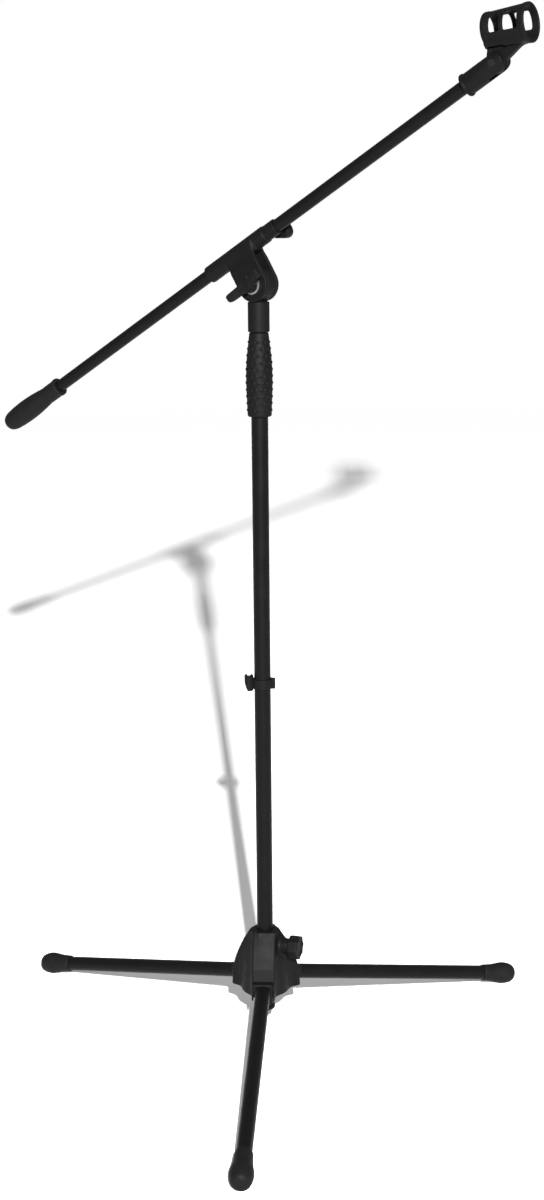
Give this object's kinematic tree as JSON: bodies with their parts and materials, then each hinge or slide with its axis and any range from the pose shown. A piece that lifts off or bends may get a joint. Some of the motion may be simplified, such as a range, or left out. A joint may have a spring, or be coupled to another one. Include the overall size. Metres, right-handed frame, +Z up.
{
  "type": "boom microphone stand",
  "caption": "Floor-standing boom microphone stand with folding tripod legs, telescopic column, tilting sliding boom and a swivelling microphone clip.",
  "frame": {"origin": "on the column's axis at floor level", "axes": "+Z up along the column, -Y along the front leg, +X to the right; the boom rises towards +X and slightly -Y"},
  "size_m": [0.6745, 0.5795, 1.2406],
  "materials": {
    "black_tube": "satin black powder coat",
    "black_moulding": "matt black, fine grain",
    "black_rubber": "soft matt",
    "zinc_steel": "bright zinc plate",
    "black_steel": "black oxide",
    "brass_insert": "turned",
    "pale_nylon": "natural nylon"
  },
  "bodies": {
    "base": {"leg_housing": "black_moulding", "lock_thread_insert": "brass_insert", "lock_pad": "pale_nylon", "leg_hinge_pins": "zinc_steel"},
    "housing_lock": {"lock_screw": "zinc_steel", "lock_knob": "black_moulding"},
    "column": {"column_tube": "black_tube", "column_end_cap": "black_moulding", "clutch_threaded_collar": "black_moulding", "clutch_collet": "pale_nylon"},
    "cable_clip": {"cable_clip": "black_moulding"},
    "clutch": {"clutch_grip": "black_moulding"},
    "riser": {"inner_tube": "black_tube", "inner_tube_bush": "pale_nylon", "inner_tube_stud": "zinc_steel"},
    "swivel": {"swivel_base": "black_moulding", "swivel_thread_insert": "brass_insert", "friction_washers": "pale_nylon"},
    "boom_head": {"boom_clamp": "black_moulding", "pivot_bolt": "zinc_steel", "pivot_steel_washer": "zinc_steel", "boom_lock_pad": "pale_nylon"},
    "wing_knob": {"pivot_wing_knob": "black_moulding"},
    "boom_lock": {"boom_lock_screw": "zinc_steel", "boom_lock_knob": "black_moulding"},
    "boom": {"boom_tube": "black_tube", "boom_grip": "black_rubber", "boom_end_stud": "zinc_steel"},
    "adapter": {"clip_adapter": "black_moulding", "adapter_thread_insert": "brass_insert", "clip_hinge_screw": "black_steel", "clip_hinge_nut": "black_steel"},
    "clip": {"mic_clip": "black_moulding"},
    "leg_front": {"leg_knuckle_front": "black_moulding", "leg_tube_front": "black_tube", "rubber_foot_front": "black_rubber"},
    "leg_right": {"leg_knuckle_right": "black_moulding", "leg_tube_right": "black_tube", "rubber_foot_right": "black_rubber"},
    "leg_left": {"leg_knuckle_left": "black_moulding", "leg_tube_left": "black_tube", "rubber_foot_left": "black_rubber"}
  },
  "joints": [
    {"name": "leg_fold_front", "type": "hinge", "parent": "base", "child": "leg_front", "pos_m": [0, -0.025, 0.08512], "axis": [1, 0, 0], "range_deg": [0, 76.5]},
    {"name": "leg_fold_right", "type": "hinge", "parent": "base", "child": "leg_right", "pos_m": [0.02165, 0.0125, 0.08512], "axis": [-0.5, 0.866, 0], "range_deg": [0, 76.5]},
    {"name": "leg_fold_left", "type": "hinge", "parent": "base", "child": "leg_left", "pos_m": [-0.02165, 0.0125, 0.08512], "axis": [-0.5, -0.866, 0], "range_deg": [0, 76.5]},
    {"name": "lock_knob_turn", "type": "hinge", "parent": "base", "child": "housing_lock", "pos_m": [0.02884, -0.00827, 0.1275], "axis": [0.9613, -0.2756, 0], "range_deg": [0, 360]},
    {"name": "column_slide", "type": "slide", "parent": "base", "child": "column", "axis": [0, 0, 1], "range_m": [-0.15, 0.02]},
    {"name": "cable_clip_slide", "type": "slide", "parent": "column", "child": "cable_clip", "axis": [0, 0, 1], "range_m": [-0.15, 0.3]},
    {"name": "clutch_twist", "type": "hinge", "parent": "column", "child": "clutch", "pos_m": [0, 0, 0.84], "axis": [0, 0, 1], "range_deg": [0, 120]},
    {"name": "height_slide", "type": "slide", "parent": "column", "child": "riser", "axis": [0, 0, 1], "range_m": [0, 0.48]},
    {"name": "head_swivel", "type": "hinge", "parent": "riser", "child": "swivel", "pos_m": [0, 0, 0.9], "axis": [0, 0, 1], "continuous": true},
    {"name": "boom_tilt", "type": "hinge", "parent": "swivel", "child": "boom_head", "pos_m": [0, 0, 0.948], "axis": [-0.5, -0.866, 0], "range_deg": [-75, 59]},
    {"name": "wing_knob_turn", "type": "hinge", "parent": "boom_head", "child": "wing_knob", "pos_m": [-0.01, -0.01732, 0.948], "axis": [-0.5, -0.866, 0], "range_deg": [0, 360]},
    {"name": "boom_lock_turn", "type": "hinge", "parent": "boom_head", "child": "boom_lock", "pos_m": [0.02776, 0.00707, 1.01095], "axis": [0.5, 0.866, 0], "range_deg": [0, 360]},
    {"name": "boom_slide", "type": "slide", "parent": "boom_head", "child": "boom", "axis": [0.7423, -0.4286, 0.515], "range_m": [-0.275, 0.27]},
    {"name": "adapter_swivel", "type": "hinge", "parent": "boom", "child": "adapter", "pos_m": [0.24788, -0.14311, 1.17061], "axis": [0.7423, -0.4286, 0.515], "continuous": true},
    {"name": "clip_tilt", "type": "hinge", "parent": "adapter", "child": "clip", "pos_m": [0.26273, -0.15168, 1.18092], "axis": [-0.5, -0.866, 0], "range_deg": [-75, 26]}
  ]
}
